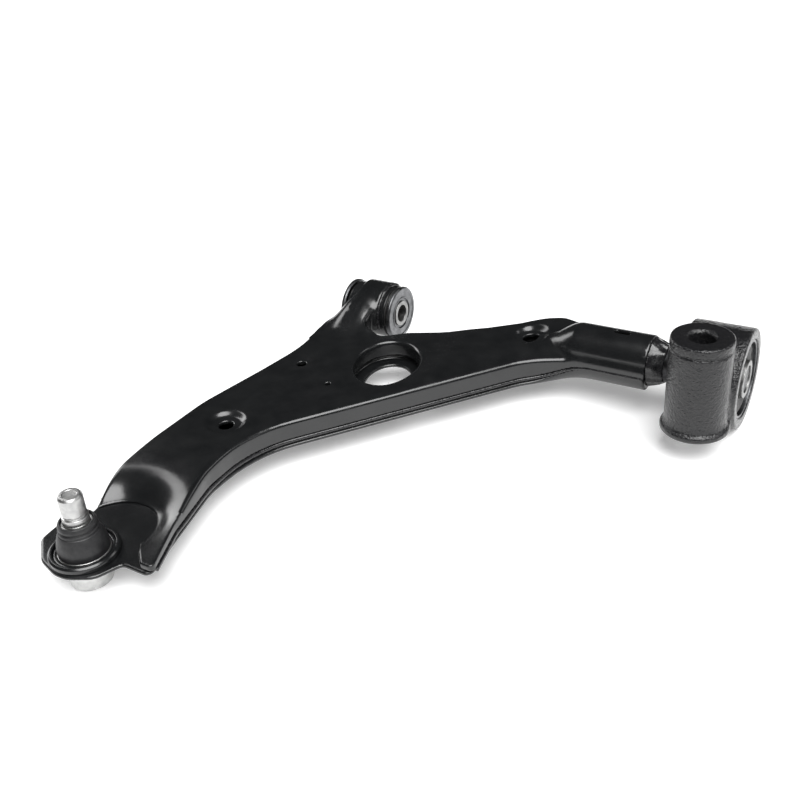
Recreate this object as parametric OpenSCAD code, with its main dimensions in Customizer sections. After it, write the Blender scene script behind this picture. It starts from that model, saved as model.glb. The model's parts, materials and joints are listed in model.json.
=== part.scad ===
// Pressed-steel control arm with a pinch-stud ball joint, a front bush and a
// rear bush carried in a cast bracket.
// Millimetres. +Z is up along the ball stud. +X runs along the pivot axis from
// the front bush to the rear bush. +Y points inboard, away from the ball joint.
// The origin is the centre of the front bush bore.

/* [Arm body] */
// underside of the lower shell
arm_bottom_z = -21; // [-23:1:-20]
// sheet thickness of both shells
sheet_t = 3; // [2.5:0.1:3.2]
// height left between skirt and lower shell for the seam weld
seam_gap = 3; // [2:0.5:4]
// how far the lower shell sticks out past the skirt
lip_w = 1; // [0.5:0.5:2]

/* [Pivot axis] */
// outer radius of the front bush tube
front_tube_r = 22; // [21.5:0.1:22.5]
// length of the front bush tube
front_tube_l = 36; // [34:1:38]
// length over the front bush washers
front_bush_l = 49; // [47:1:52]
// radius of the front bush end washers
front_washer_r = 23; // [22:0.5:24]
// radius of the front bush bolt hole
front_bore_r = 7.25; // [6.25:0.25:8]
// outer radius of the rear neck tube
neck_r = 20.5; // [20:0.5:20.5]
// end of the rear neck along X
neck_end_x = 247; // [244:1:250]

/* [Rear bracket] */
// position of the bolt boss along X
boss_x = 294; // [292:1:296]
// position of the bolt boss along Y
boss_y = -47; // [-49:1:-46]
// radius of the bolt boss
boss_r = 22.5; // [21:0.5:23]
// radius of the foot flange
foot_r = 25; // [24:0.5:26]
// top face of the boss
boss_top_z = 54; // [50:1:58]
// underside of the boss
boss_bottom_z = -20; // [-22:1:-18]
// radius of the mounting bolt hole
boss_bore_r = 9; // [8:0.5:9.5]
// outer radius of the bush housing
ring_r = 38.5; // [38:0.5:40]
// front face of the bush housing
ring_x0 = 273; // [271:1:275]
// rear face of the bush housing
ring_x1 = 318.5; // [316:0.5:320]
// outer radius of the rear bush shell
rear_tube_r = 30; // [29.5:0.5:30.5]
// outer radius of the rear bush inner sleeve
rear_sleeve_r = 14.5; // [14:0.5:15]
// radius of the stub pin inside the rear bush
pin_r = 10.5; // [10:0.5:11]

/* [Ball joint] */
// ball joint axis along X
joint_x = -15.4; // [-18:0.1:-12]
// ball joint axis along Y
joint_y = -350; // [-352:1:-348]
// height of the ball centre
ball_z = -26; // [-26.5:0.1:-25.5]
// radius of the ball
ball_r = 10.5; // [10:0.1:10.7]
// radius of the clamped stud end
stud_r = 8; // [7.5:0.1:8.5]
// top of the stud
stud_top_z = 28.5; // [26:0.5:30]
// outer radius of the joint housing
housing_r = 17.5; // [17:0.1:18]

/* [Hidden] */
$fn = 96;
eps = 0.01;
arm_top_z = 0;
floor_z = arm_bottom_z + sheet_t;
skirt_bottom_z = floor_z + seam_gap;
black = [0.05, 0.05, 0.055];
steel = [0.72, 0.73, 0.74];
soft = [0.08, 0.08, 0.08];
ivory = [0.85, 0.85, 0.8];
// running fit of each bush sleeve and of the ball
fit_gap = 0.05;
// where the neck stops being a flat box and becomes a tube
split_x = 192;
// half width over the neck's side walls, and how low they reach
neck_w = neck_r + 0.5;
neck_low_z = -6;
// conical pocket around the ball joint, from its floor up to the top face
pocket_x = -17;
pocket_y = -323;
pocket_r = 31.5;
pocket_top_r = 42;
// the pocket wall and the seam end here, so the nose is open
bowl_cut_y = -342;
// cone that lifts the top face towards the neck, and where its hollow starts
ramp_x0 = 156;
ramp_x1 = 204;
ramp_r0 = 2;
ramp_lead = 14;
ramp_hollow_r = 3;
// oval slot on top of the neck
slot_x = 222;
slot_l = 8;
slot_w = 5;
// pressed dishes as [x, y, hole radius]
dish_holes = [[-9.5, -206, 5.5], [146, 0, 7]];
dish_r = 16;
dish_floor_r = 11;
dish_depth = 3;
// plain holes as [x, y, radius]
small_holes = [[-7.5, -109, 4], [30.5, -129, 2.2]];
// oval window: centre, half length, half width and turn
window_x = 56;
window_y = -81;
window_l = 34.5;
window_w = 25.8;
window_turn = 18.5;
// how far the window collars turn down from the top face
collar_drop = 9;
collar_gap = 2;
// saddle of the upper shell over the front bush tube
saddle_x0 = -12;
saddle_x1 = 13;
saddle_t = 3;
saddle_foot_y = -62;
saddle_r = front_tube_r + saddle_t;
saddle_low_z = -8;
// the lower shell and the seam are open around the front bush
notch_x = [-60, 44];
notch_y = [-29, 71];
weld_r = 2.2;
weld_proud = 1.2;
// front bush
front_tube_t = 2.5;
front_sleeve_r = 12.2;
front_step_r = 11;
front_lip_r = 21;
washer_t = 4;
washer_gap = 0.4;
washer_groove = 2.2;
rubber_in_r = front_sleeve_r + fit_gap;
// stub pin
pin_head_x0 = 205;
pin_shoulder_r = 14;
pin_shoulder_x = ring_x0 - 2;
// rear bush
rear_tube_t = 2;
void_r = 20.5;
void_t = 4.5;
void_l = 10;
// rear bracket
foot_t = 4;
bore_chamfer = 2;
web_x0 = 277;
web_x1 = 311;
web_h = 48;
rim_drop = 8.5;
rim_groove = 1.5;
// ball joint
liner_t = 1.5;
cap_t = 2;
joint_bottom_z = -39;
housing_in_r = ball_r + liner_t;
housing_neck_r = housing_r - 2.5;
housing_top_z = -14;
opening_r0 = 7.6;
opening_r1 = 12.2;
stud_neck_r = 6.2;
collar_r = stud_r + 0.6;
collar_z = 9;
boot_low_r = 16.4;

// corners of the arm outline as [x, y, corner radius], anticlockwise
near_side = [[29, -312, 60], [17.5, -262, 60], [17, -211, 90], [158, -35, 60]];
upper_neck = [[188, -neck_w, 30], [neck_end_x, -neck_w, 0], [neck_end_x, neck_w, 0]];
lower_neck = [[188, -20.5, 20], [split_x + 14, -8, 0], [split_x + 14, 8, 0]];
far_side = [[split_x, neck_w, 12], [164, 29, 20], [136, 24, 30], [104, -2, 40],
  [46, -28, 40], [30, -41, 12], [9, -41, 5]];
bush_strip = [[12, -10, 0], [-11, -10, 0], [-11, -24, 2], [-30, -35, 8]];
front_side = [[-26, -88, 120], [-33, -130, 120], [-45, -190, 120],
  [-48, -276, 60]];
horns = [[-42, -322, 3], [-36, -324, 2], [-17, -316, 5], [14, -330, 5],
  [33, -350, 2], [43.5, -350, 3]];
nose = [[-42, -316, 8], [-54, -335, 5], [-53, -352, 8], [-36, -368, 14],
  [-13, -376, 24], [7, -366, 12], [15, -348, 5], [38, -349, 4]];
upper_corners = concat(near_side, upper_neck, far_side, bush_strip, front_side, horns);
lower_corners = concat(near_side, lower_neck, far_side, bush_strip, front_side, nose);
window_corners = [for (k = [[1, -1], [1, 1], [-1, 1], [-1, -1]])
  [window_x + k[0] * window_w * cos(window_turn) - k[1] * window_l * sin(window_turn),
    window_y + k[0] * window_w * sin(window_turn) + k[1] * window_l * cos(window_turn),
    window_w - eps]];

// unit vector from a to b
function toward(a, b) = let(d = [b[0] - a[0], b[1] - a[1]]) d / norm(d);
// turn at a corner, positive where the outline is convex
function turn(a, b, c) = let(u = toward(a, b), v = toward(b, c))
  u[0] * v[1] - u[1] * v[0];
// arc points that round corner b by radius r
function corner_arc(a, b, c, r, n) =
  let(u = toward(b, a), v = toward(b, c), half = acos(u * v) / 2,
    reach = r / tan(half), hub = [b[0], b[1]] + (u + v) / norm(u + v) * r / sin(half),
    p = [b[0], b[1]] + u * reach, q = [b[0], b[1]] + v * reach,
    a0 = atan2(p[1] - hub[1], p[0] - hub[0]),
    a1 = atan2(q[1] - hub[1], q[0] - hub[0]),
    sweep = a1 - a0 > 180 ? a1 - a0 - 360 : a1 - a0 < -180 ? a1 - a0 + 360 : a1 - a0)
  [for (i = [0 : n]) hub + r * [cos(a0 + sweep * i / n), sin(a0 + sweep * i / n)]];
// outline with every corner rounded by its own radius
function rounded(c) = let(k = len(c)) [for (i = [0 : k - 1])
  let(a = c[(i + k - 1) % k], b = c[i], d = c[(i + 1) % k])
  for (p = b[2] > 0 ? corner_arc(a, b, d, b[2], b[2] > 30 ? 8 : 6) : [[b[0], b[1]]]) p];
// the same corners moved inward by d
function inset(c, d) = let(k = len(c)) [for (i = [0 : k - 1])
  let(a = c[(i + k - 1) % k], b = c[i], e = c[(i + 1) % k],
    u = toward(a, b), v = toward(b, e), nu = [-u[1], u[0]], nv = [-v[1], v[0]],
    shift = d / (1 + nu * nv), side = turn(a, b, e) > 0 ? -d : d)
  [b[0] + shift * (nu[0] + nv[0]), b[1] + shift * (nu[1] + nv[1]),
    b[2] > 0 ? max(b[2] + side, 0.5) : 0]];

module slab(corners, z0, z1) {
  translate([0, 0, z0])
    linear_extrude(height = z1 - z0)
      polygon(rounded(corners));
}

// cylinder lying along X
module rod(x0, x1, r) {
  translate([x0, 0, 0])
    rotate([0, 90, 0])
      cylinder(h = x1 - x0, r = r);
}

// tube lying along X
module tube(x0, x1, r_out, r_in) {
  difference() {
    rod(x0, x1, r_out);
    rod(x0 - 1, x1 + 1, r_in);
  }
}

// everything above or below the pivot plane, along X from x0 to x1
module half_space(x0, x1, up) {
  translate([x0, -60, up ? 0 : -60])
    cube([x1 - x0, 120, 60]);
}

// cone that lifts the top face towards the neck
module ramp_cone() {
  translate([ramp_x0, 0, 0])
    rotate([0, 90, 0])
      cylinder(h = ramp_x1 - ramp_x0, r1 = ramp_r0, r2 = neck_r);
}

// hollow inside that cone
module ramp_hollow() {
  translate([ramp_x0 + ramp_lead, 0, 0])
    rotate([0, 90, 0])
      cylinder(h = ramp_x1 - ramp_x0 - ramp_lead + 1, r1 = ramp_hollow_r, r2 = neck_r - sheet_t);
}

// the pocket, grown outward by grow
module pocket_cone(grow) {
  translate([pocket_x, pocket_y, floor_z])
    cylinder(h = arm_top_z - floor_z + eps, r1 = pocket_r + grow, r2 = pocket_top_r + grow);
}

module upper_shell() {
  color(black)
    difference() {
      union() {
        slab(upper_corners, arm_top_z - sheet_t, arm_top_z);
        difference() {
          slab(upper_corners, skirt_bottom_z, arm_top_z - sheet_t);
          slab(inset(upper_corners, sheet_t), skirt_bottom_z - 1, arm_top_z);
        }
        intersection() {
          slab(upper_corners, floor_z, arm_top_z);
          difference() {
            pocket_cone(sheet_t);
            translate([-100, bowl_cut_y - 100, -50])
              cube([200, 100, 100]);
          }
        }
        intersection() {
          union() {
            ramp_cone();
            rod(ramp_x1 - eps, neck_end_x, neck_r);
          }
          half_space(ramp_x0, neck_end_x, true);
        }
        rod(saddle_x0, saddle_x1, saddle_r);
        translate([saddle_x0, 0, 0])
          rotate([90, 0, 90])
            linear_extrude(height = saddle_x1 - saddle_x0)
              polygon([[saddle_foot_y, -sheet_t + 1], [0, -sheet_t + 1], [-16, 17], [saddle_foot_y, 0.5]]);
        for (d = dish_holes)
          translate([d[0], d[1], -dish_depth - sheet_t])
            cylinder(h = dish_depth + sheet_t, r = dish_floor_r + sheet_t);
        slab(inset(window_corners, -sheet_t), arm_top_z - collar_drop, arm_top_z);
      }
      difference() {
        pocket_cone(0);
        translate([-100, bowl_cut_y - 160, -50])
          cube([200, 100, 100]);
      }
      ramp_hollow();
      rod(ramp_x1, neck_end_x + 1, neck_r - sheet_t);
      translate([split_x, -60, -60])
        cube([100, 120, 60 + neck_low_z]);
      rod(saddle_x0 - 1, saddle_x1 + 1, front_tube_r + fit_gap);
      translate([saddle_x0 - 1, -30, -60])
        cube([saddle_x1 - saddle_x0 + 2, 60, 60 + saddle_low_z]);
      slab(window_corners, arm_top_z - 20, arm_top_z + 20);
      for (d = dish_holes) {
        translate([d[0], d[1], -dish_depth])
          cylinder(h = dish_depth + eps, r1 = dish_floor_r, r2 = dish_r);
        translate([d[0], d[1], -30])
          cylinder(h = 60, r = d[2]);
      }
      for (h = small_holes)
        translate([h[0], h[1], -30])
          cylinder(h = 60, r = h[2]);
      translate([slot_x, 0, 0])
        linear_extrude(height = 40)
          union() {
            square([slot_l, slot_w], center = true);
            for (side = [-1, 1])
              translate([side * slot_l / 2, 0])
                circle(r = slot_w / 2);
          }
    }
}

// space kept clear around the front bush
module bush_notch() {
  translate([notch_x[0], notch_y[0], -40])
    cube([notch_x[1] - notch_x[0], notch_y[1] - notch_y[0], 60]);
}

module lower_shell() {
  color(black)
    difference() {
      union() {
        slab(inset(lower_corners, -lip_w), arm_bottom_z, floor_z);
        intersection() {
          rod(split_x + eps, neck_end_x, neck_r);
          translate([0, -60, -60])
            cube([400, 120, 60 + neck_low_z]);
        }
        slab(inset(window_corners, -collar_gap), arm_bottom_z, arm_top_z - collar_drop - collar_gap);
        translate([joint_x, joint_y, arm_bottom_z])
          cylinder(h = sheet_t + 3, r = housing_r + 3);
      }
      slab(inset(window_corners, 1), arm_bottom_z - 1, arm_top_z);
      rod(split_x - 1, neck_end_x + 1, neck_r - sheet_t);
      bush_notch();
      translate([joint_x, joint_y, arm_bottom_z - 1])
        cylinder(h = 20, r = housing_r);
      translate([small_holes[0][0], small_holes[0][1], -30])
        cylinder(h = 60, r = small_holes[0][2] + 1);
    }
}

module seam_weld() {
  color(black)
    intersection() {
      difference() {
        slab(inset(upper_corners, -weld_proud), floor_z, skirt_bottom_z);
        slab(inset(upper_corners, sheet_t - 0.5), floor_z - 1, skirt_bottom_z + 1);
        pocket_cone(sheet_t);
        bush_notch();
        translate([split_x, -60, -40])
          cube([100, 120, 60]);
      }
      translate([-100, bowl_cut_y - 3, -40])
        cube([500, 600, 60]);
    }
}

module front_bush_tube() {
  color(black)
    tube(-front_tube_l / 2, front_tube_l / 2, front_tube_r, front_tube_r - front_tube_t);
}

// weld ring around the pivot axis where a tube of radius r ends at x
module weld_ring(x, r, dir) {
  translate([x, 0, 0])
    rotate([0, 90 * dir, 0])
      rotate_extrude()
        polygon([[r, 0], [r + weld_r, 0], [r + weld_r * 0.7, weld_r * 0.7], [r, weld_r]]);
}

module front_bush_weld() {
  color(black)
    difference() {
      weld_ring(saddle_x1, front_tube_r, 1);
      translate([saddle_x1 - 1, -60, -60])
        cube([weld_r + 2, 120, 60 + saddle_low_z]);
    }
}

module front_bush_rubber() {
  color(soft)
    difference() {
      union() {
        rod(-front_tube_l / 2, front_tube_l / 2, front_tube_r - front_tube_t);
        rod(front_tube_l / 2, front_bush_l / 2 - washer_t - washer_gap, front_lip_r);
        rod(-front_bush_l / 2 + washer_t + washer_gap, -front_tube_l / 2, front_lip_r);
      }
      rod(-40, 40, rubber_in_r);
    }
}

module front_bush_sleeve() {
  color(steel)
    difference() {
      union() {
        rod(-front_bush_l / 2 + washer_t, front_bush_l / 2 - washer_t, front_sleeve_r);
        rod(-front_bush_l / 2, front_bush_l / 2, front_step_r);
      }
      rod(-60, 60, front_bore_r);
    }
}

// end washer of the front bush, facing along dir
module washer(dir) {
  groove_r = front_step_r + washer_groove;
  translate([dir * (front_bush_l / 2 - washer_t), 0, 0])
    rotate([0, 90 * dir, 0])
      rotate_extrude()
        polygon([[front_step_r, 0], [front_washer_r - 1, 0], [front_washer_r, 1],
          [front_washer_r, washer_t - 0.8], [front_washer_r - 0.8, washer_t],
          [groove_r, washer_t], [groove_r, washer_t - 1.2],
          [front_step_r, washer_t - 1.2]]);
}

module front_washer_fore() {
  color(steel)
    washer(-1);
}

module front_washer_aft() {
  color(steel)
    washer(1);
}

module rear_pin() {
  color(steel)
    union() {
      rod(pin_head_x0, neck_end_x, neck_r - sheet_t);
      rod(neck_end_x - 1, pin_shoulder_x, pin_shoulder_r);
      rod(pin_shoulder_x - 1, ring_x1 - 1, pin_r);
    }
}

module rear_pin_weld() {
  color(black)
    translate([neck_end_x, 0, 0])
      rotate([0, 90, 0])
        rotate_extrude()
          polygon([[pin_shoulder_r, 0], [neck_r + 0.5, 0], [neck_r - 1, 3],
            [neck_r - 4, 4.5], [pin_shoulder_r, 5.5]]);
}

module rear_bush_sleeve() {
  color(steel)
    tube(pin_shoulder_x, ring_x1, rear_sleeve_r, pin_r);
}

module rear_bush_rubber() {
  color(soft)
    difference() {
      tube(ring_x0 + 2, ring_x1 - 2, rear_tube_r - rear_tube_t, rear_sleeve_r + fit_gap);
      for (side = [-1, 1])
        translate([ring_x1 - void_l, 0, 0])
          rotate([90 + 90 * side, 0, 0])
            rotate([0, 90, 0])
              rotate_extrude(angle = 80, start = -40)
                translate([void_r, 0])
                  square([void_t, 2 * void_l]);
    }
}

module rear_bush_shell() {
  color(steel)
    tube(ring_x0 + 0.5, ring_x1 - 0.5, rear_tube_r, rear_tube_r - rear_tube_t);
}

module rear_bracket() {
  color(black)
    difference() {
      union() {
        translate([boss_x, boss_y, boss_bottom_z])
          cylinder(h = boss_top_z - boss_bottom_z, r = boss_r);
        translate([boss_x, boss_y, boss_bottom_z])
          cylinder(h = foot_t, r = foot_r);
        rod(ring_x0 + 2, ring_x1, ring_r);
        translate([ring_x0, 0, 0])
          rotate([0, 90, 0])
            cylinder(h = 2 + eps, r1 = ring_r - 2, r2 = ring_r);
        translate([web_x0, boss_y, boss_bottom_z + foot_t])
          cube([web_x1 - web_x0, -boss_y - 10, web_h]);
      }
      rod(ring_x0 - 40, ring_x1 + 40, rear_tube_r);
      translate([boss_x, boss_y, boss_bottom_z - 1])
        cylinder(h = boss_top_z - boss_bottom_z + 2, r = boss_bore_r);
      translate([boss_x, boss_y, boss_top_z - bore_chamfer])
        cylinder(h = bore_chamfer + eps, r1 = boss_bore_r, r2 = boss_bore_r + bore_chamfer);
      translate([boss_x, boss_y, boss_top_z - rim_drop])
        difference() {
          cylinder(h = rim_groove, r = boss_r + 5);
          translate([0, 0, -1])
            cylinder(h = rim_groove + 2, r = boss_r - 0.8);
          translate([-50, 0, -1])
            cube([100, 60, rim_groove + 2]);
        }
    }
}

// opening above the ball, wide enough for the stud to swing
module stud_opening() {
  translate([0, 0, ball_z])
    cylinder(h = housing_top_z - ball_z + 1, r1 = opening_r0, r2 = opening_r1);
}

module at_joint() {
  translate([joint_x, joint_y, 0])
    children();
}

module joint_housing() {
  color(steel)
    at_joint()
      difference() {
        union() {
          translate([0, 0, joint_bottom_z])
            cylinder(h = 4, r1 = housing_neck_r, r2 = housing_r);
          translate([0, 0, joint_bottom_z + 4 - eps])
            cylinder(h = floor_z - joint_bottom_z - 4, r = housing_r);
          translate([0, 0, floor_z - 2 * eps])
            cylinder(h = housing_top_z - floor_z, r = housing_neck_r);
        }
        translate([0, 0, joint_bottom_z - 1])
          cylinder(h = ball_z + 1 - joint_bottom_z, r = housing_in_r);
        translate([0, 0, ball_z])
          sphere(r = housing_in_r);
        stud_opening();
        translate([0, 0, joint_bottom_z - 1])
          cylinder(h = cap_t + 1, r = housing_in_r + 2);
      }
}

module joint_collar() {
  color(black)
    at_joint()
      translate([0, 0, floor_z])
        difference() {
          cylinder(h = 4.5, r = housing_r + 6);
          translate([0, 0, -1])
            cylinder(h = 7, r = housing_r + 3);
        }
}

module ball_seat() {
  color(ivory)
    at_joint()
      difference() {
        union() {
          translate([0, 0, ball_z])
            sphere(r = housing_in_r);
          translate([0, 0, joint_bottom_z + cap_t])
            cylinder(h = ball_z - joint_bottom_z - cap_t, r = housing_in_r);
        }
        translate([0, 0, ball_z])
          sphere(r = ball_r + fit_gap);
        stud_opening();
        translate([0, 0, joint_bottom_z - 40 + cap_t])
          cylinder(h = 40, r = 40);
      }
}

module joint_cap() {
  color(steel)
    at_joint()
      translate([0, 0, joint_bottom_z])
        cylinder(h = cap_t, r = housing_in_r + 2);
}

module ball_stud() {
  color(steel)
    at_joint()
      union() {
        translate([0, 0, ball_z])
          sphere(r = ball_r);
        rotate_extrude()
          polygon([[0, ball_z], [stud_neck_r, ball_z + 5], [stud_neck_r, -10],
            [collar_r, collar_z - 1], [collar_r, collar_z + 3.4],
            [stud_r - 0.8, collar_z + 3.4], [stud_r - 0.8, collar_z + 4.4],
            [stud_r, collar_z + 5], [stud_r, stud_top_z - 2],
            [stud_r - 1.6, stud_top_z], [0, stud_top_z]]);
      }
}

module dust_boot() {
  color(soft)
    at_joint()
      rotate_extrude()
        polygon([[15.1, -17.5], [boot_low_r, -17.5], [boot_low_r, -15], [17.2, -11], [17, -6],
          [16, -1], [14.4, 2.2], [13, 3.4], [13, 4.6], [12.2, 5], [12.2, 6.2],
          [13, 6.6], [13, 8], [10.4, 8.6], [10.4, 4], [12.4, 1.4], [14.2, -1.6],
          [15.2, -6], [15.4, -11], [15.1, -14]]);
}

module boot_top_ring() {
  color(steel)
    at_joint()
      translate([0, 0, 4.8])
        difference() {
          cylinder(h = 2, r = 10.1);
          translate([0, 0, -1])
            cylinder(h = 4, r = collar_r + fit_gap);
        }
}

module boot_base_ring() {
  color(steel)
    at_joint()
      translate([0, 0, -17.4])
        difference() {
          cylinder(h = 2.6, r = boot_low_r + 1);
          translate([0, 0, -1])
            cylinder(h = 5, r = boot_low_r + fit_gap);
        }
}

upper_shell();
lower_shell();
seam_weld();
front_bush_tube();
front_bush_weld();
front_bush_rubber();
front_bush_sleeve();
front_washer_fore();
front_washer_aft();
rear_pin();
rear_pin_weld();
rear_bush_sleeve();
rear_bush_rubber();
rear_bush_shell();
rear_bracket();
joint_housing();
joint_collar();
ball_seat();
joint_cap();
ball_stud();
dust_boot();
boot_top_ring();
boot_base_ring();
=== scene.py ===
"""Looks for the control arm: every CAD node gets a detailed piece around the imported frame.

Sizes are millimetres in the CAD frame until a mesh is written in metres.
The two bushes share the X axis, and the ball joint lies towards -Y.
Most pieces are zero surfaces of distance fields, negative inside. Round ones are turned on a lathe.
"""

import json
import math

import bpy
import numpy as np
import openvdb
from mathutils import Matrix, Vector


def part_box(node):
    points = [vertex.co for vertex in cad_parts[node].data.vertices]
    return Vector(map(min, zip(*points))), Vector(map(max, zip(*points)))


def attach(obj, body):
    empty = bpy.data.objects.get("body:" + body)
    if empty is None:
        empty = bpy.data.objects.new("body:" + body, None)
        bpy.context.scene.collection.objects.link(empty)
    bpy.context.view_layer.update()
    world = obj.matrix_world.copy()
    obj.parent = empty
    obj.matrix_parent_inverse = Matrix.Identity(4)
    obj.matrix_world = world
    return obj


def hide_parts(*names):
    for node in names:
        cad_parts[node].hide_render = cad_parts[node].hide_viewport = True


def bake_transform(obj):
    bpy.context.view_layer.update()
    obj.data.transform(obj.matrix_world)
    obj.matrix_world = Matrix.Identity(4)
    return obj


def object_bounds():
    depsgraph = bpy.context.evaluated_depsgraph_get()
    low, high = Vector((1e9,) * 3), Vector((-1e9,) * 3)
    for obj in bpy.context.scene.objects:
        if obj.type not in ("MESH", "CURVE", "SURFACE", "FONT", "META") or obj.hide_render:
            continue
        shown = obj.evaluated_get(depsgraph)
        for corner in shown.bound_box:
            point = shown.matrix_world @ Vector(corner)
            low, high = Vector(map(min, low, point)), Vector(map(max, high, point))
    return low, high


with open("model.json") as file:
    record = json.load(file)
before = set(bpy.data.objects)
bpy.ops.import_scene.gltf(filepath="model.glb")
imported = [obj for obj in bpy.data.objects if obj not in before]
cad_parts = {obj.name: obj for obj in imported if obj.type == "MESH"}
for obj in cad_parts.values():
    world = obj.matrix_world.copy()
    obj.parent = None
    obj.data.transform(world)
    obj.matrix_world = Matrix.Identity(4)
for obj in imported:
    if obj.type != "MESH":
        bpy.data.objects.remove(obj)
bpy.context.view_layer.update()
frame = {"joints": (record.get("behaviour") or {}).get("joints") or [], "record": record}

MM = 0.001
BODY_OF = {n: b for b, ns in frame["record"]["behaviour"]["bodies"].items() for n in ns}
MOUNTS = {m["name"]: m for m in frame["record"]["mounts"]}
JOINTS = {j["name"]: j for j in frame["joints"]}


def mm_box(node):
    """Lowest and highest corner of a CAD node in millimetres."""
    lo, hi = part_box(node)
    return np.array(lo) / MM, np.array(hi) / MM


def pos_mm(thing):
    """Place of a joint or a mount in millimetres."""
    return np.array(thing["pos_m"]) / MM


# ---------------------------------------------------------------- heights and places
SHEET_T = 3.0
SEAM_GAP = 3.0
BOTTOM_Z = mm_box("lower_shell")[0][2]
FLOOR_Z = BOTTOM_Z + SHEET_T        # upper face of the lower sheet
SKIRT_Z = FLOOR_Z + SEAM_GAP        # lower edge of the upper shell's skirt
SEAM_Z = (FLOOR_Z + SKIRT_Z) / 2
JOINT_X, JOINT_Y, BALL_Z = pos_mm(JOINTS["stud_swing"])
BOSS_X, BOSS_Y = pos_mm(MOUNTS["bracket_bolt_bore"])[:2]
BOSS_FOOT_Z = pos_mm(MOUNTS["bracket_foot"])[2]

# the neck between the flat body and the rear bush
NECK_END = mm_box("upper_shell")[1][0]
NECK_HOLLOW_R = 20.5 - SHEET_T
NECK_LOW_Z = -6.0                   # height of the seam along the neck
UPPER_HOLLOW_X, LOWER_HOLLOW_X = 200.0, 184.0
NECK_SLOT_X, NECK_SLOT_HALF, NECK_SLOT_R = 222, 4, 2.5

# the saddle over the front bush
SADDLE = (-9.5, 13.0)
SADDLE_R = 25.0
SADDLE_LOW_Z = -8
TUBE_R = 22

# the window through both shells: centre, half axes and turn
WINDOW_AT, WINDOW_HALF, WINDOW_TURN = (56.0, -81.0), (25.8, 34.5), math.radians(18.5)

# the pocket in the upper shell around the ball joint
POCKET = (-15.0, -324.0)
POCKET_R = 30.5
POCKET_CUT_R = 28.8                 # opening of the upper shell
POCKET_SKIRT_R = 42                 # up to here the skirt stands on the lower sheet
POCKET_SEAM_R = 36                  # the seam weld ends here

# holes as (x, y, radius): two in dishes pressed into the top face, two plain, one in the lower shell
DISH_HOLES = [(-9.5, -206.0, 5.5), (146.0, 0.0, 7.0)]
PLAIN_HOLES = [(-7.5, -109, 4.0), (30.5, -129, 2.2)]
LOWER_HOLE = (-7.5, -109, 5.0)

# the plan of the shells as (x, y, corner radius)
NEAR_SIDE = [(29, -312, 60), (17.5, -262, 60), (17, -211, 90), (158, -35, 60),
             (188, -21, 30), (262, -21, 0), (262, 21, 0), (192, 21, 12),
             (164, 29, 20), (136, 24, 30), (104, -2, 40), (46, -28, 40),
             (30, -41, 12), (9, -41, 6)]
BUSH_STRIP = [(12, -12, 0), (-9, -10, 0), (-30, -36, 14)]
FRONT_SIDE = [(-26, -88, 120), (-33, -130, 120), (-45, -190, 120), (-48, -276, 60)]
HORNS = [(-42, -322, 3), (-36, -324, 2), (-17, -316, 5), (14, -330, 5), (33, -350, 2),
         (43.5, -350, 3)]
NOSE = [(-42, -316, 8), (-54, -335, 5), (-53, -352, 8), (-36, -368, 14), (-13, -376, 24),
        (7, -366, 12), (15, -348, 5), (38, -349, 4)]


# ---------------------------------------------------------------- outlines and fields
def rounded(corners, arc=10):
    """Closed outline with every corner (x, y, r) rounded, with about arc points in 1.2 radians."""
    out = []
    k = len(corners)
    for i, (bx, by, r) in enumerate(corners):
        a = np.array(corners[i - 1][:2], float)
        b = np.array((bx, by), float)
        c = np.array(corners[(i + 1) % k][:2], float)
        if r <= 0:
            out.append(tuple(b))
            continue
        u = (a - b) / np.linalg.norm(a - b)
        v = (c - b) / np.linalg.norm(c - b)
        half = math.acos(max(-1, min(1, float(u @ v)))) / 2
        if abs(half - math.pi / 2) < 1e-4:
            out.append(tuple(b))
            continue
        reach = r / math.tan(half)
        hub = b + (u + v) / np.linalg.norm(u + v) * r / math.sin(half)
        p, q = b + u * reach, b + v * reach
        a0 = math.atan2(p[1] - hub[1], p[0] - hub[0])
        a1 = math.atan2(q[1] - hub[1], q[0] - hub[0])
        sweep = (a1 - a0 + math.pi) % (2 * math.pi) - math.pi
        n = max(2, int(arc * abs(sweep) / 1.2) + 2)
        for j in range(n + 1):
            t = a0 + sweep * j / n
            out.append((hub[0] + r * math.cos(t), hub[1] + r * math.sin(t)))
    return out


UPPER = rounded(NEAR_SIDE + BUSH_STRIP + FRONT_SIDE + HORNS)
LOWER = rounded(NEAR_SIDE + BUSH_STRIP + FRONT_SIDE + NOSE)


def outline_distance(x, y, points):
    """Signed distance to a closed outline, and how far along it the nearest point lies."""
    best = np.full(np.broadcast(x, y).shape, 1e9)
    along = np.zeros_like(best)
    inside = np.zeros(best.shape, bool)
    run = 0.0
    for (ax, ay), (bx, by) in zip(points, points[1:] + points[:1]):
        dx, dy = bx - ax, by - ay
        length = math.hypot(dx, dy)
        if length < 1e-9:
            continue
        t = np.clip(((x - ax) * dx + (y - ay) * dy) / length ** 2, 0, 1)
        d = np.hypot(x - ax - t * dx, y - ay - t * dy)
        near = d < best
        best = np.where(near, d, best)
        along = np.where(near, run + t * length, along)
        crosses = (ay > y) != (by > y)
        if abs(dy) > 1e-12:
            inside ^= crosses & (x < ax + (y - ay) * dx / dy)
        run += length
    return np.where(inside, -best, best), along


def smooth(t):
    """Soft step from 0 at t = 0 to 1 at t = 1."""
    t = np.clip(t, 0, 1)
    return t * t * (3 - 2 * t)


def cut(a, b, r):
    """Intersection of two distance fields with its edge rounded by r."""
    return np.minimum(np.maximum(a, b), -r) + np.hypot(np.maximum(a + r, 0), np.maximum(b + r, 0))


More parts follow.
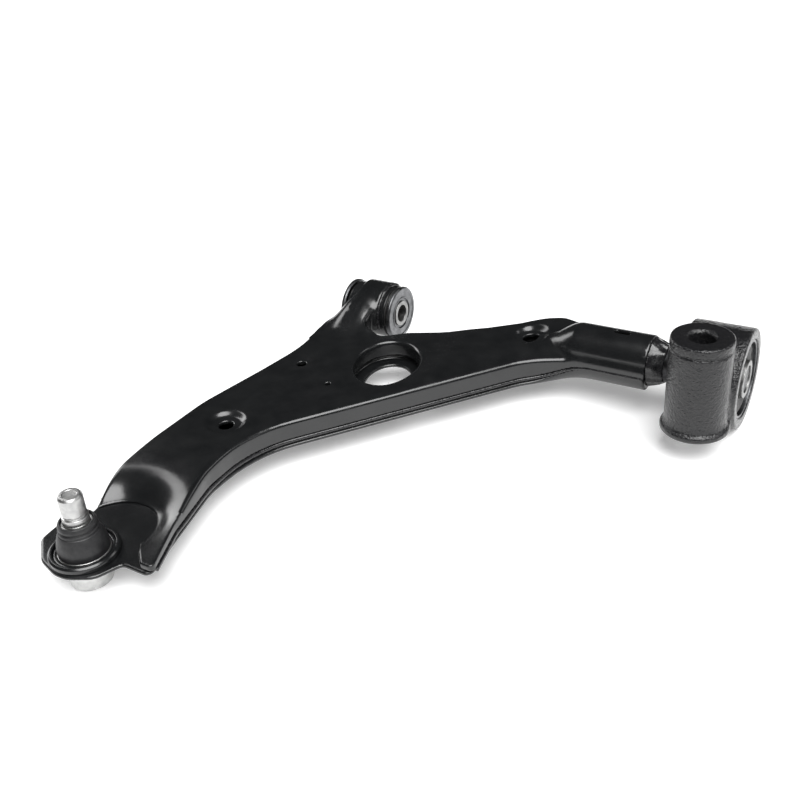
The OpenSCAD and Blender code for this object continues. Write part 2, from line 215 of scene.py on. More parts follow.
def join(a, b, r):
    """Union of two distance fields with a fillet of radius r."""
    return np.maximum(np.minimum(a, b), r) - np.hypot(np.maximum(r - a, 0), np.maximum(r - b, 0))


def ripple(x, y, z, scale, seed):
    """Soft repeatable unevenness between -1 and 1."""
    waves = ((1.0, 0.63, 0.41), (-0.57, 1.13, 0.73), (0.83, -0.92, 1.21))
    total = 0
    for k, (p, q, s) in enumerate(waves):
        total = total + np.sin((p * x + q * y + s * z) * scale * (1 + 0.37 * k) + seed * (k + 1.7))
    return total / 3


# ---------------------------------------------------------------- meshes
def link(mesh, node, mat):
    """The object that replaces a CAD node."""
    obj = bpy.data.objects.new(node + "_skin", mesh)
    bpy.context.scene.collection.objects.link(obj)
    mesh.materials.append(mat)
    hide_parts(node)
    return obj


def trilinear(f, p):
    """Values of the grid f at places p, given in cells."""
    p = np.clip(p, 0, np.array(f.shape) - 1.001)
    i = p.astype(int)
    u = p - i
    total = 0
    for a in (0, 1):
        for b in (0, 1):
            for c in (0, 1):
                w = u[:, 0] if a else 1 - u[:, 0]
                w = w * (u[:, 1] if b else 1 - u[:, 1])
                w = w * (u[:, 2] if c else 1 - u[:, 2])
                total = total + w * f[i[:, 0] + a, i[:, 1] + b, i[:, 2] + c]
    return total


BAND_CELLS = 4
NORMAL_REACH = 0.6      # in cells, either way
FIELD_PAD = 3.0


def field_mesh(name, lo, hi, step, field, adaptivity):
    """Mesh of the zero surface of a distance field, with the field's own normals."""
    lo = np.array(lo, float)
    count = np.ceil((np.array(hi, float) - lo) / step).astype(int) + 1
    axes = [lo[k] + step * np.arange(count[k]) for k in range(3)]
    f = field(axes[0][:, None, None], axes[1][None, :, None], axes[2][None, None, :])
    f = np.ascontiguousarray(np.broadcast_to(f, count), np.float32)
    band = BAND_CELLS * step
    grid = openvdb.FloatGrid(band)
    grid.copyFromArray(np.clip(f, -band, band))
    points, triangles, quads = grid.convertToPolygons(isovalue=0.0, adaptivity=adaptivity)
    faces = [tuple(q) for q in quads.tolist()] + [tuple(t) for t in triangles.tolist()]
    points = points.astype(float)
    reaches = np.eye(3) * NORMAL_REACH
    normal = np.stack([trilinear(f, points + e) - trilinear(f, points - e) for e in reaches], 1)
    normal /= np.maximum(np.linalg.norm(normal, axis=1), 1e-9)[:, None]
    mesh = bpy.data.meshes.new(name)
    mesh.from_pydata(((lo + points * step) * MM).tolist(), [], faces)
    mesh.validate()
    for p in mesh.polygons:
        p.use_smooth = True
    mesh.normals_split_custom_set_from_vertices(normal.tolist())
    return mesh


def solid(node, step, field, mat, adaptivity=0.0, low=None, high=None):
    """A replacement of one CAD node, from a distance field over its box or from low to high."""
    lo, hi = mm_box(node)
    lo = lo - FIELD_PAD if low is None else np.array(low, float)
    hi = hi + FIELD_PAD if high is None else np.array(high, float)
    mesh = field_mesh(node + "_skin", lo, hi, step, field, adaptivity)
    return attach(link(mesh, node, mat), BODY_OF[node])


LATHE_TURNS = 112
LATHE_ARC = 9
SHARP = math.radians(32)


def lathe(node, corners, mat, along="Z", at=(0, 0, 0), ride=True):
    """A replacement of one CAD node, turned from (radius, height, fillet) corners."""
    outline = rounded(corners, LATHE_ARC)
    keep = [outline[0]]
    for p in outline[1:]:
        if math.dist(p, keep[-1]) > 1e-4:
            keep.append(p)
    if math.dist(keep[0], keep[-1]) < 1e-4:
        keep.pop()
    verts, index = [], []
    for r, h in keep:
        row = []
        for j in range(LATHE_TURNS if r > 1e-6 else 1):
            t = 2 * math.pi * j / LATHE_TURNS
            c, s = r * math.cos(t), r * math.sin(t)
            p = (c, s, h) if along == "Z" else (h, c, s)
            row.append(len(verts))
            verts.append(tuple((np.array(p) + np.array(at)) * MM))
        index.append(row)
    faces = []
    for a, b in zip(index, index[1:] + index[:1]):
        for j in range(LATHE_TURNS):
            k = (j + 1) % LATHE_TURNS
            if len(a) == 1 and len(b) == 1:
                break
            if len(a) == 1:
                faces.append((a[0], b[k], b[j]))
            elif len(b) == 1:
                faces.append((a[j], a[k], b[0]))
            else:
                faces.append((a[j], a[k], b[k], b[j]))
    turned = sum(p[0] * q[1] - q[0] * p[1] for p, q in zip(keep, keep[1:] + keep[:1]))
    if turned < 0:
        faces = [f[::-1] for f in faces]
    mesh = bpy.data.meshes.new(node + "_skin")
    mesh.from_pydata(verts, [], faces)
    mesh.validate()
    for p in mesh.polygons:
        p.use_smooth = True
    mesh.set_sharp_from_angle(angle=SHARP)
    obj = link(mesh, node, mat)
    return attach(obj, BODY_OF[node]) if ride else obj


def arc_points(r, a0, a1, n):
    """Corners of an arc about the ball centre, from angle a0 to a1 in degrees above the equator."""
    turns = [math.radians(a0 + (a1 - a0) * i / n) for i in range(n + 1)]
    return [(r * math.cos(t), BALL_Z + r * math.sin(t), 0) for t in turns]


# ---------------------------------------------------------------- materials
class Look:
    """A small builder for one procedural material."""

    NOISE_LOW, NOISE_HIGH = 0.3, 0.7    # the part of a noise's range that is used

    def __init__(self, name):
        self.mat = bpy.data.materials.new(name)
        self.mat.use_nodes = True
        self.tree = self.mat.node_tree
        self.shader = self.tree.nodes["Principled BSDF"]
        self.coords = self.tree.nodes.new("ShaderNodeTexCoord").outputs["Object"]

    def set(self, **values):
        """Constant values on the shader's own sockets."""
        for key, value in values.items():
            self.shader.inputs[key.replace("_", " ")].default_value = value
        return self

    def noise(self, scale, detail=4.0, rough=0.55, stretch=None):
        n = self.tree.nodes.new("ShaderNodeTexNoise")
        n.inputs["Scale"].default_value = scale
        n.inputs["Detail"].default_value = detail
        n.inputs["Roughness"].default_value = rough
        source = self.coords
        if stretch:
            m = self.tree.nodes.new("ShaderNodeMapping")
            m.inputs["Scale"].default_value = stretch
            self.tree.links.new(self.coords, m.inputs["Vector"])
            source = m.outputs["Vector"]
        self.tree.links.new(source, n.inputs["Vector"])
        return n.outputs["Fac"]

    def colour(self, source, dark, light):
        r = self.tree.nodes.new("ShaderNodeValToRGB")
        ends = ((self.NOISE_LOW, dark), (self.NOISE_HIGH, light))
        for element, (position, shade) in zip(r.color_ramp.elements, ends):
            element.position = position
            element.color = (*shade, 1)
        self.tree.links.new(source, r.inputs["Fac"])
        self.tree.links.new(r.outputs["Color"], self.shader.inputs["Base Color"])

    def roughness(self, source, low, high):
        r = self.tree.nodes.new("ShaderNodeMapRange")
        r.inputs["From Min"].default_value = self.NOISE_LOW
        r.inputs["From Max"].default_value = self.NOISE_HIGH
        r.inputs["To Min"].default_value = low
        r.inputs["To Max"].default_value = high
        self.tree.links.new(source, r.inputs["Value"])
        self.tree.links.new(r.outputs["Result"], self.shader.inputs["Roughness"])

    def bump(self, *layers):
        """Layers of (source, height in metres)."""
        last = None
        for source, height in layers:
            n = self.tree.nodes.new("ShaderNodeBump")
            n.inputs["Strength"].default_value = 1.0
            n.inputs["Distance"].default_value = height
            self.tree.links.new(source, n.inputs["Height"])
            if last:
                self.tree.links.new(last, n.inputs["Normal"])
            last = n.outputs["Normal"]
        self.tree.links.new(last, self.shader.inputs["Normal"])


def material(name, tint, gloss, grain, **fixed):
    """A material with noise in its colour, its roughness and its relief.

    tint: noise scale, noise detail, darkest and lightest colour
    gloss: noise scale, noise detail, lowest and highest roughness
    grain: noise scale, noise detail and height in metres, for each layer of relief
    """
    k = Look(name).set(**fixed)
    k.colour(k.noise(*tint[:2]), *tint[2:])
    k.roughness(k.noise(*gloss[:2]), *gloss[2:])
    k.bump(*((k.noise(scale, detail), height) for scale, detail, height in grain))
    return k.mat


def turned_steel():
    """Bright steel with fine turning marks around Z."""
    k = Look("bright_turned_steel").set(Metallic=1.0)
    marks = k.noise(2600, 2, 0.5, (0.03, 0.03, 1.0))
    k.colour(k.noise(240, 4), (0.42, 0.42, 0.42), (0.58, 0.58, 0.57))
    k.roughness(marks, 0.30, 0.44)
    k.bump((marks, 0.00001))
    return k.mat


PAINT = material("arm_black_paint", (60, 4, (0.0055, 0.006, 0.0065), (0.010, 0.0105, 0.011)),
                 (35, 5, 0.16, 0.27), [(420, 2, 0.00002), (90, 2, 0.00006)], IOR=1.6)
WELD = material("weld_black_paint", (300, 4, (0.006, 0.006, 0.007), (0.016, 0.016, 0.017)),
                (260, 5, 0.14, 0.34), [(700, 4, 0.00012), (240, 2, 0.0003)], IOR=1.6)
CAST = material("cast_black_paint", (500, 4, (0.007, 0.007, 0.008), (0.016, 0.016, 0.017)),
                (300, 5, 0.12, 0.26), [(1000, 1, 0.00045), (460, 1, 0.00060)], IOR=1.5)
ZINC = material("zinc_plated_steel", (160, 6, (0.50, 0.505, 0.50), (0.72, 0.72, 0.71)),
                (420, 5, 0.26, 0.42), [(1400, 3, 0.00003)], Metallic=1.0)
DULL = material("dull_plated_steel", (150, 6, (0.09, 0.092, 0.096), (0.20, 0.203, 0.21)),
                (380, 5, 0.24, 0.42), [(1300, 3, 0.00003)], Metallic=1.0)
SLEEVE = material("sleeve_steel", (260, 5, (0.20, 0.20, 0.20), (0.34, 0.34, 0.335)),
                  (420, 4, 0.32, 0.46), [(1200, 3, 0.00003)], Metallic=1.0)
PIN = material("pin_steel", (300, 4, (0.020, 0.020, 0.021), (0.050, 0.050, 0.052)),
               (500, 4, 0.28, 0.45), [(1500, 3, 0.00003)], Metallic=1.0)
BOOT = material("boot_rubber", (220, 5, (0.010, 0.010, 0.011), (0.022, 0.022, 0.023)),
                (500, 4, 0.40, 0.56), [(2200, 3, 0.00004)], IOR=1.5)
RUBBER = material("bush_rubber", (260, 5, (0.008, 0.008, 0.008), (0.020, 0.020, 0.020)),
                  (600, 4, 0.46, 0.66), [(1700, 3, 0.00006)], IOR=1.48)
LINER = material("liner_plastic", (300, 4, (0.70, 0.69, 0.64), (0.80, 0.79, 0.74)),
                 (500, 4, 0.34, 0.46), [(1500, 2, 0.00003)], IOR=1.5)
BRIGHT = turned_steel()


# ---------------------------------------------------------------- shapes both shells share
def window_distance(x, y):
    """Signed distance to the oval window, close to exact near its edge."""
    c, s = math.cos(WINDOW_TURN), math.sin(WINDOW_TURN)
    u = (x - WINDOW_AT[0]) * c + (y - WINDOW_AT[1]) * s
    v = -(x - WINDOW_AT[0]) * s + (y - WINDOW_AT[1]) * c
    a, b = WINDOW_HALF
    k0 = np.hypot(u / a, v / b)
    k1 = np.maximum(np.hypot(u / a ** 2, v / b ** 2), 1e-6)
    return k0 * (k0 - 1) / k1


def rise_to_neck(x):
    """How far the seam has climbed from the skirt's foot to the middle of the neck."""
    return smooth((x - 158) / 46)


def pocket_radius(x, y):
    """Distance from the middle of the pocket."""
    return np.hypot(x - POCKET[0], y - POCKET[1])


def bush_notch(x, y):
    """Space kept clear around the front bush, negative inside."""
    return np.maximum(np.maximum(-60 - x, x - 44), -29 - y)


# ---------------------------------------------------------------- upper shell
def top_height(x, y):
    """Height of the pressed top face, without its edges."""
    # two low steps towards the neck, on the side away from the near edge
    near_y = np.interp(x, [60, 95, 158, 188, 210], [-150, -114, -35, -20, -8])
    h = (3.2 * smooth((x - 70) / 36) + 3.2 * smooth((x - 138) / 30)) * smooth((y - near_y) / 30)
    h = h + 3.5 * smooth((x - 126) / 26) * smooth((y - 8) / 16)
    # the strap that climbs to the saddle
    strap = smooth((y + 62) / 47) * (1 - smooth((SADDLE[0] - x) / 23)) * (1 - 0.25 * smooth(x / 14))
    strap = strap * (1 - smooth((x - 14) / 12))
    h = h + 19.0 * strap * (y < 12)
    # the dishes, and a shallower one around the first plain hole
    for dx, dy, _ in DISH_HOLES:
        h = h - 3.2 * (1 - smooth((np.hypot(x - dx, y - dy) - 10.5) / 6.0))
    dx, dy, _ = PLAIN_HOLES[0]
    h = h - 0.9 * (1 - smooth((np.hypot(x - dx, y - dy) - 5.5) / 5.0))
    # the face falls towards the nose and sweeps down into the pocket around the joint
    edge = -10.0 * smooth((-235 - y) / 115)
    s = np.clip((pocket_radius(x, y) - POCKET_R) / 28, -0.5, 1)
    foot = FLOOR_Z + 1.0
    rise = (edge - foot) * (1 - (1 - s) ** 3)
    k = 4.0
    blend = np.clip(0.5 + 0.5 * rise / k, 0, 1)
    sweep = foot + rise * blend + k * blend * (1 - blend)
    nose = sweep + (h - h * smooth((-225 - y) / 20))
    return np.where(y < -225, nose, h + edge * (y < -235))


def neck_profile(x, y, z):
    """Rounded tunnel that rises out of the flat face."""
    grow = smooth((x - 153) / 36)
    return np.hypot(y, z - 1.1 * grow) - (3.0 + 16.4 * grow)


def upper_skin(x, y, z, d, top, t):
    """The pressed form, set in by t."""
    crisp = ((y < -300) & (x > 0)) | ((y > -70) & (x < 0))
    edge_r = np.where(crisp, 1.0, max(3.4 - t, 1.0))
    body = cut(d + t, (z - top) * 0.93 + t, edge_r)
    body = join(body, np.maximum(neck_profile(x, y, z) + t, 152 - x), 4.5)
    ends = np.maximum(SADDLE[0] - x, x - SADDLE[1])
    saddle = cut(np.hypot(y, z) - SADDLE_R + t, ends, 0.8)
    return join(body, saddle, 4.0)


def upper_field(x, y, z):
    d, _ = outline_distance(x, y, UPPER)
    w = window_distance(x, y)
    top = top_height(x, y)
    rho = pocket_radius(x, y)
    outer = cut(upper_skin(x, y, z, d, top, 0.0), -w, 3.0)
    # the hollow, which leaves a collar around the window, and the bore of the neck
    inner = upper_skin(x, y, z, d, top, SHEET_T)
    inner = np.minimum(np.maximum(inner, -w + SHEET_T), np.maximum(inner, z + 13.0))
    inner = np.minimum(inner, np.maximum(np.hypot(y, z) - NECK_HOLLOW_R, UPPER_HOLLOW_X - x))
    shell = np.maximum(outer, -inner)
    # the lower edge
    bottom = np.where(rho < POCKET_SKIRT_R, FLOOR_Z, SKIRT_Z)
    bottom = bottom + (NECK_LOW_Z - bottom) * rise_to_neck(x)
    at_saddle = (np.abs(x - np.mean(SADDLE)) < 18) & (y > -28)
    shell = cut(shell, np.where(at_saddle, SADDLE_LOW_Z, bottom) - z, 0.7)
    shell = cut(shell, x - NECK_END, 0.7)
    # room for the bush tube
    near_bush = (x > -22) & (x < 16) & (y > -30)
    shell = np.where(near_bush, np.maximum(shell, TUBE_R + 0.05 - np.hypot(y, z)), shell)
    for holes, edge_r in ((DISH_HOLES, 0.8), (PLAIN_HOLES, 0.5)):
        for hx, hy, hr in holes:
            shell = cut(shell, hr - np.hypot(x - hx, y - hy), edge_r)
    past = np.maximum(np.abs(x - NECK_SLOT_X) - NECK_SLOT_HALF, 0)
    slot = np.hypot(past, y) - NECK_SLOT_R
    shell = np.where(z > 5, cut(shell, -slot, 0.5), shell)
    return cut(shell, POCKET_CUT_R - rho, 0.5)


solid("upper_shell", 1.0, upper_field, PAINT,
      adaptivity=0.02, low=(-58, -360, FLOOR_Z - 3), high=(252, 36, 31))


# ---------------------------------------------------------------- lower shell
def lower_field(x, y, z):
    d, run = outline_distance(x, y, LOWER)
    w = window_distance(x, y)
    up = rise_to_neck(x)
    # the flange stands out past the skirt, most along the near side
    near_side = smooth((run - 40) / 60) * (1 - smooth((run - 330) / 40))
    d = d - (1.0 + 1.6 * near_side) * (1 - up)
    top = FLOOR_Z + (NECK_LOW_Z - 0.05 - FLOOR_Z) * up
    slab = cut(d, z - top, 1.4 - 1.1 * up)
    slab = cut(slab, BOTTOM_Z + 1.0 * up - z, 1.4 + 11.6 * up)
    slab = np.maximum(slab, -np.maximum(np.hypot(y, z) - NECK_HOLLOW_R, LOWER_HOLLOW_X - x))
    slab = cut(slab, x - NECK_END, 0.6)
    # collar in the window
    collar = np.maximum(np.abs(w - 5.2) - 1.4, np.maximum(z + 8, BOTTOM_Z - z))
    slab = join(slab, collar, 2.0)
    slab = cut(slab, -7.0 - w, 1.4)
    # raised seat of the joint, with the housing's hole
    rho = np.hypot(x - JOINT_X, y - JOINT_Y)
    seat = cut(rho - 20.5, z - (FLOOR_Z + 3), 1.2)
    seat = np.maximum(seat, FLOOR_Z - 1 - z)
    slab = join(slab, seat, 3.0)
    slab = np.maximum(slab, 17.5 - rho)
    slab = cut(slab, -bush_notch(x, y), 0.8)
    hx, hy, hr = LOWER_HOLE
    return cut(slab, hr - np.hypot(x - hx, y - hy), 0.5)


solid("lower_shell", 1.0, lower_field, PAINT,
      adaptivity=0.02, low=(-62, -384, BOTTOM_Z - 3), high=(252, 36, 4))


# ---------------------------------------------------------------- seam weld
def seam_field(x, y, z):
    d, _ = outline_distance(x, y, UPPER)
    up = rise_to_neck(x)
    half_gap = (SKIRT_Z - FLOOR_Z) / 2 * (1 - up)
    middle = SEAM_Z + (NECK_LOW_Z - SEAM_Z) * up
    bead = (1.95 + 0.16 * ripple(x, y, z, 0.10, 3.0)) * (1 - 0.4 * up)
    f = np.hypot(d + 0.9 * (1 - up), z - middle) - bead
    f = np.maximum(f, np.minimum(np.abs(z - middle) - half_gap, 0.05 - d))
    f = np.maximum(f, middle - half_gap - 0.6 * up - z)
    # it ends short of the bush, the neck's end, the horns and the pocket
    f = np.maximum(f, -bush_notch(x, y))
    f = np.maximum(f, x - NECK_END + 2)
    f = np.maximum(f, -345 - y)
    return np.maximum(f, POCKET_SEAM_R - pocket_radius(x, y))


solid("seam_weld", 0.6, seam_field, WELD,
      adaptivity=0.01, low=(-54, -352, FLOOR_Z - 2), high=(NECK_END + 1, 36, NECK_LOW_Z + 3))

# ---------------------------------------------------------------- front bush
T_LO, T_HI = (c[0] for c in mm_box("front_bush_tube"))
R_LO, R_HI = (c[0] for c in mm_box("front_bush_rubber"))
S_LO, S_HI = (c[0] for c in mm_box("front_bush_sleeve"))
TUBE_IN_R = 19.5
WASHER_X = S_HI - 4.0       # inner face of a washer

lathe("front_bush_tube",
      [(TUBE_R, T_LO, 0.6), (TUBE_R, T_HI, 0.6), (TUBE_IN_R, T_HI, 0.4), (TUBE_IN_R, T_LO, 0.4)],
      PAINT, "X")


def bush_weld_field(x, y, z):
    r = np.hypot(y, z)
    a = np.arctan2(y, z)
    ridges = 0.25 * np.sin(a * 13 + 1.3 * np.sin(a * 5))
    bead = 1.6 + ridges + 0.45 * ripple(x, y, z, 0.4, 1.0)
    f = np.hypot(r - 22.6, x - SADDLE[1] - 0.2) - bead
    f = np.maximum(f, TUBE_R - r)
    f = np.maximum(f, SADDLE[1] - 0.2 - x)
    return np.maximum(f, SADDLE_LOW_Z - z)


solid("front_bush_weld", 0.5, bush_weld_field, WELD,
      low=(SADDLE[1] - 2, -27, -10), high=(SADDLE[1] + 5, 27, 27))
lathe("front_bush_rubber",
      [(12.25, R_LO, 0.6), (18.4, R_LO, 1.2), (21, R_LO + 1.0, 0.9), (21, T_LO, 0.3),
       (TUBE_IN_R, T_LO, 0), (TUBE_IN_R, T_HI, 0), (21, T_HI, 0.3), (21, R_HI - 1.0, 0.9),
       (18.4, R_HI, 1.2), (12.25, R_HI, 0.6)],
      RUBBER, "X")
lathe("front_bush_sleeve",
      [(7.25, S_LO, 0.6), (11, S_LO, 0.5), (11, -WASHER_X, 0), (12.2, -WASHER_X, 0.2),
       (12.2, WASHER_X, 0.2), (11, WASHER_X, 0), (11, S_HI, 0.5), (7.25, S_HI, 0.6)],
      SLEEVE, "X")
WASHER = [(11, WASHER_X, 0.1), (22.2, WASHER_X, 0.4), (23, WASHER_X + 0.9, 0.8),
          (23, S_HI - 1.0, 0.9), (21.6, S_HI, 0.9), (19.4, S_HI, 0.5), (18.8, S_HI - 0.5, 0.5),
          (14.6, S_HI - 0.5, 0.4), (14.1, S_HI, 0.3), (13.2, S_HI, 0.35),
          (13.0, S_HI - 1.3, 0.2), (11, S_HI - 1.3, 0.1)]
for node, side in (("front_washer_fore", -1), ("front_washer_aft", 1)):
    lathe(node, [(r, side * h, fillet) for r, h, fillet in WASHER], DULL, "X")

# ---------------------------------------------------------------- stub pin and rear bush
PIN_LO, PIN_HI = (c[0] for c in mm_box("rear_pin"))
B_LO, B_HI = (c[0] for c in mm_box("rear_bush_sleeve"))
RS_LO, RS_HI = (c[0] for c in mm_box("rear_bush_shell"))
RR_LO, RR_HI = (c[0] for c in mm_box("rear_bush_rubber"))
RUBBER_IN_R, RUBBER_OUT_R = 14.55, 28

lathe("rear_pin",
      [(0, PIN_LO, 0), (17.4, PIN_LO, 0.5), (17.4, NECK_END, 0.2), (14, NECK_END, 0),
       (14, B_LO, 0.8), (10.5, B_LO, 0), (10.5, PIN_HI, 1.2), (0, PIN_HI, 0)],
      PIN, "X")


def pin_weld_field(x, y, z):
    r = np.hypot(y, z)
    a = np.arctan2(y, z)
    bump = 0.5 * np.sin(a * 8 + 1.4 * np.sin(a * 3) + 0.25 * x) + 0.7 * ripple(x, y, z, 0.33, 2.0)
    back = np.clip((x - NECK_END) / 13.0, 0, 1)
    f = (r - (19.8 - 5.2 * back ** 0.8) - 0.9 * bump) * 0.85
    f = cut(f, x - NECK_END - 12.5, 1.2)
    f = np.maximum(f, NECK_END - x)
    return np.maximum(f, 13.9 - r)


solid("rear_pin_weld", 0.6, pin_weld_field, WELD,
      low=(245, -24, -24), high=(263, 24, 24))
lathe("rear_bush_sleeve",
      [(10.5, B_LO, 0.5), (14.5, B_LO, 0.6), (14.5, B_HI, 0.6), (10.5, B_HI, 0.5)],
      SLEEVE, "X")
lathe("rear_bush_shell",
      [(28, RS_LO, 0.5), (30, RS_LO, 0.5), (30, RS_HI, 0.5), (28, RS_HI, 0.5)],
      DULL, "X")


def rear_rubber_field(x, y, z):
    r = np.hypot(y, z)
    # crowned end faces
    crown = 1.4 * (1 - ((r - 21.3) / 6.7) ** 2)
    f = cut(r - RUBBER_OUT_R, RUBBER_IN_R - r, 0.5)
    f = cut(f, np.maximum(x - RR_HI + 1.6 - crown, RR_LO + 1.6 - crown - x), 0.8)
    # a void above and one below, open to the outer end
    angle = np.abs(np.abs(np.arctan2(z, y)) - math.pi / 2)
    side = (math.radians(50) - angle) * 22
    void = cut(np.abs(r - 22.75) - 2.25, side, 1.2)
    void = np.maximum(void, RR_HI - 10 - x)
    return cut(f, -void, 0.6)


solid("rear_bush_rubber", 0.7, rear_rubber_field, RUBBER)

# ---------------------------------------------------------------- rear bracket
BR_HI = mm_box("rear_bracket")[1]
LUG_X = 273.0               # front face of the bush housing


def bracket_field(x, y, z):
    foot_z, top_z = BOSS_FOOT_Z, BR_HI[2]
    rho = np.hypot(x - BOSS_X, y - BOSS_Y)
    skin = 0.10 * ripple(x, y, z, 0.9, 5.0) + 0.16 * ripple(x, y, z, 0.31, 9.0)
    boss = cut(cut(rho - 22.3 + skin * 0.6, z - top_z + 0.1, 1.6), foot_z + 1 - z, 1.0)
    # shallow waist under the top rim
    waist = cut(np.abs(z - (top_z - 7.6)) - 0.9, 21.5 - rho, 0.6)
    boss = cut(boss, -waist, 0.8)
    foot = cut(cut(rho - 24.9, z - (foot_z + 5.0), 1.8), foot_z - z, 1.4)
    # housing of the rear bush
    lug = np.hypot(y, z) - 38.4 + skin * 0.5
    ring = cut(cut(lug, x - BR_HI[0], 2.0), LUG_X - x, 2.0)
    web = cut(np.abs(x - 294) - 17, np.abs(z - (foot_z + 28)) - 24, 3.0)
    web = cut(web, BOSS_Y - y, 1.0)
    web = np.maximum(web, y + 12)
    f = join(boss, ring, 5.0)
    f = join(f, web, 4.0)
    f = join(f, foot, 2.2)
    # the bolt bore with a chamfer at its top, and the seat of the bush
    f = cut(f, 9 + np.clip(z - top_z + 2.2, 0, 3) - rho, 0.5)
    return cut(f, 30 - np.hypot(y, z), 1.0)


solid("rear_bracket", 0.8, bracket_field, CAST,
      adaptivity=0.01)

# ---------------------------------------------------------------- ball joint
JOINT = (JOINT_X, JOINT_Y, 0)
H_LO, H_HI = (c[2] for c in mm_box("joint_housing"))
C_LO, C_HI = (c[2] for c in mm_box("joint_cap"))
TOP = mm_box("ball_stud")[1][2]
CAVITY_R, BALL_R = 12, 10.5

lathe("joint_housing",
      [(14, H_LO, 0.2), (14.3, H_LO, 0.3), (14.9, H_LO + 5, 2.0), (17.2, H_LO + 12, 4.0),
       (17.5, H_LO + 17, 1.0), (17.5, FLOOR_Z, 0.2), (15, FLOOR_Z, 0.3), (15, H_HI, 0.5),
       (12.1, H_HI, 0.4)]
      + arc_points(CAVITY_R, 36, 0, 8)
      + [(CAVITY_R, H_LO + 2, 0), (14, H_LO + 2, 0)],
      ZINC, at=JOINT)
lathe("joint_collar",
      [(20.5, FLOOR_Z, 0), (23.5, FLOOR_Z, 0.8), (23.5, FLOOR_Z + 3.2, 1.2),
       (22.2, FLOOR_Z + 4.5, 0.8), (20.5, FLOOR_Z + 4.5, 0.4)],
      PAINT, at=JOINT)
lathe("ball_seat",
      arc_points(CAVITY_R, -90, 28, 25)[6:] + arc_points(BALL_R + 0.05, 28, -60, 20),
      LINER, at=JOINT)
lathe("joint_cap",
      [(0, C_LO + 0.1, 0), (9, C_LO + 0.1, 1.5), (10.5, C_LO + 0.6, 0.8), (12.2, C_LO, 0.5),
       (13.9, C_LO + 0.3, 0.4), (13.9, C_HI, 0.2), (0, C_HI, 0)],
      ZINC, at=JOINT)
lathe("ball_stud",
      [(max(r, 0.0), h, 0) for r, h, _ in arc_points(BALL_R, -90, 50, 40)]
      + [(6.2, -15, 1.0), (6.2, -10, 3.0), (8.4, 7.2, 0.4), (8.6, 8.2, 0.3), (8.6, 12.2, 0.4),
         (7.2, 12.6, 0.3), (7.2, 13.6, 0.4), (8, 14.6, 0.4), (8, TOP - 1.7, 0.5),
         (6.9, TOP - 0.2, 0.6), (4.9, TOP - 0.1, 0.3), (4.6, TOP - 0.5, 0.3), (0, TOP - 0.6, 0)],
      BRIGHT, at=JOINT)

BOOT_OUTSIDE = [(15.1, -17.5, 0.2), (16.4, -17.5, 0.2), (16.4, -15, 0.4), (17.0, -14.2, 0.6),
                (16.9, -10.5, 3), (15.9, -5.5, 5), (14.6, -1.6, 2.0), (13.6, 0.6, 0.5),
                (12.9, 1.1, 0.3), (13.3, 1.6, 0.4), (13.2, 2.9, 0.5), (12.0, 3.3, 0.3),
                (11.8, 4.2, 0.3), (12.7, 4.7, 0.5), (12.7, 6.2, 0.7), (11.9, 8.0, 0.8)]
BOOT_INSIDE = [(10.7, 8.5, 0.3), (10.4, 4.0, 0.6), (11.2, 1.2, 1.5), (12.9, -1.8, 2),
               (14.5, -6, 3), (15.3, -11, 2), (15.1, -14, 1)]
boot = lathe("dust_boot", BOOT_OUTSIDE + BOOT_INSIDE, BOOT, at=JOINT, ride=False)
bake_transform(boot)
lathe("boot_top_ring",
      [(8.65, 4.8, 0.3), (10.1, 4.8, 0.4), (10.1, 6.8, 0.4), (8.65, 6.8, 0.3)],
      ZINC, at=JOINT)
lathe("boot_base_ring",
      [(16.45, -17.4, 0.2), (17.4, -17.4, 0.3), (17.4, -14.8, 0.4), (16.45, -14.8, 0.3)],
      BRIGHT, at=JOINT)

# ---------------------------------------------------------------- stage, light and camera
arm_lo, arm_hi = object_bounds()
centre = (arm_lo + arm_hi) / 2
FLOOR_GAP = 0.0004


def floor():
    """The pale floor under the arm, slightly lit from within so that it stays white."""
    place = (centre.x, centre.y, arm_lo.z - FLOOR_GAP)
    bpy.ops.mesh.primitive_plane_add(size=14, location=place)
    plane = bpy.context.object
    plane.name = "floor"
    k = Look("pale_floor")
    k.set(Roughness=0.9, Emission_Color=(1, 1, 1, 1), Emission_Strength=0.28)
    k.colour(k.noise(3), (0.86, 0.86, 0.86), (0.90, 0.90, 0.90))
    plane.data.materials.append(k.mat)


def lamp(name, kind, power):
    """A light and its data."""
    data = bpy.data.lights.new(name, kind)
    data.energy = power
    obj = bpy.data.objects.new(name, data)
    bpy.context.scene.collection.objects.link(obj)
    return obj, data


def sun(name, azimuth, elevation, power, spread):
    """A broad soft source far away: azimuth from +X towards +Y, angles in degrees."""
    obj, data = lamp(name, "SUN", power)
    data.angle = math.radians(spread)
    a, e = math.radians(azimuth), math.radians(elevation)
    toward = Vector((math.cos(a) * math.cos(e), math.sin(a) * math.cos(e), math.sin(e)))
    obj.rotation_euler = toward.to_track_quat("Z", "Y").to_euler()


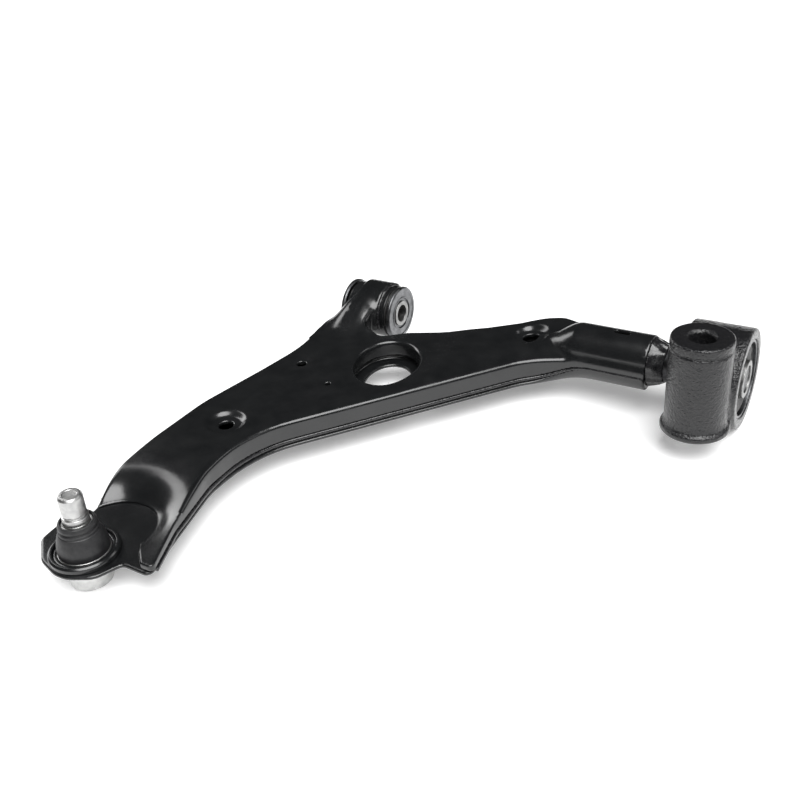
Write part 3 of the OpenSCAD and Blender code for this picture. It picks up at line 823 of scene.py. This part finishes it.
def area(name, offset, size, power):
    """A soft box at an offset from the arm's centre in metres, aimed at the centre."""
    obj, data = lamp(name, "AREA", power)
    data.shape = "RECTANGLE"
    data.size, data.size_y = size
    obj.location = centre + Vector(offset)
    obj.rotation_euler = (centre - obj.location).to_track_quat("-Z", "Y").to_euler()


def studio(to_reflections, to_eye):
    """A world that is dark in reflections and white to the eye."""
    world = bpy.data.worlds.new("studio")
    bpy.context.scene.world = world
    world.use_nodes = True
    tree = world.node_tree
    room = tree.nodes["Background"]
    room.inputs["Color"].default_value = (1, 1, 1, 1)
    path = tree.nodes.new("ShaderNodeLightPath")
    level = tree.nodes.new("ShaderNodeMapRange")
    level.inputs["To Min"].default_value = to_reflections
    level.inputs["To Max"].default_value = to_eye
    tree.links.new(path.outputs["Is Camera Ray"], level.inputs["Value"])
    tree.links.new(level.outputs["Result"], room.inputs["Strength"])


floor()
sun("key", -42, 62, 4.6, 52)
area("tall_left", (-1.75, 0.32, 0.85), (0.6, 1.5), 12)
area("back_box", (1.5, 1.6, 1.5), (1.0, 0.5), 4.5)
area("right_box", (1.9, 0.4, 0.9), (0.8, 0.8), 2)
studio(0.03, 1.0)
bpy.context.scene.view_settings.view_transform = "Standard"

# the photograph's camera, as solved from the arm's round features
CAMERA_AT = (0.4416, -0.6876, 0.3943)
CAMERA_RIGHT = (0.8500, 0.5267, 0.0)
CAMERA_AHEAD = (-0.4518, 0.7291, -0.5140)
CAMERA_ROLL = -0.0768
LENS_MM, SENSOR_MM = 46.18, 36.0

right = Vector(CAMERA_RIGHT).normalized()
ahead = Vector(CAMERA_AHEAD).normalized()
upward = right.cross(ahead).normalized()
camera_x = right * math.cos(CAMERA_ROLL) + upward * math.sin(CAMERA_ROLL)
camera_y = upward * math.cos(CAMERA_ROLL) - right * math.sin(CAMERA_ROLL)
camera_data = bpy.data.cameras.new("camera")
camera_data.lens = LENS_MM
camera_data.sensor_width = SENSOR_MM
camera_data.clip_start = 0.01
camera = bpy.data.objects.new("camera", camera_data)
bpy.context.scene.collection.objects.link(camera)
facing = Matrix((camera_x, camera_y, -ahead)).transposed().to_4x4()
camera.matrix_world = Matrix.Translation(CAMERA_AT) @ facing
bpy.context.scene.camera = camera
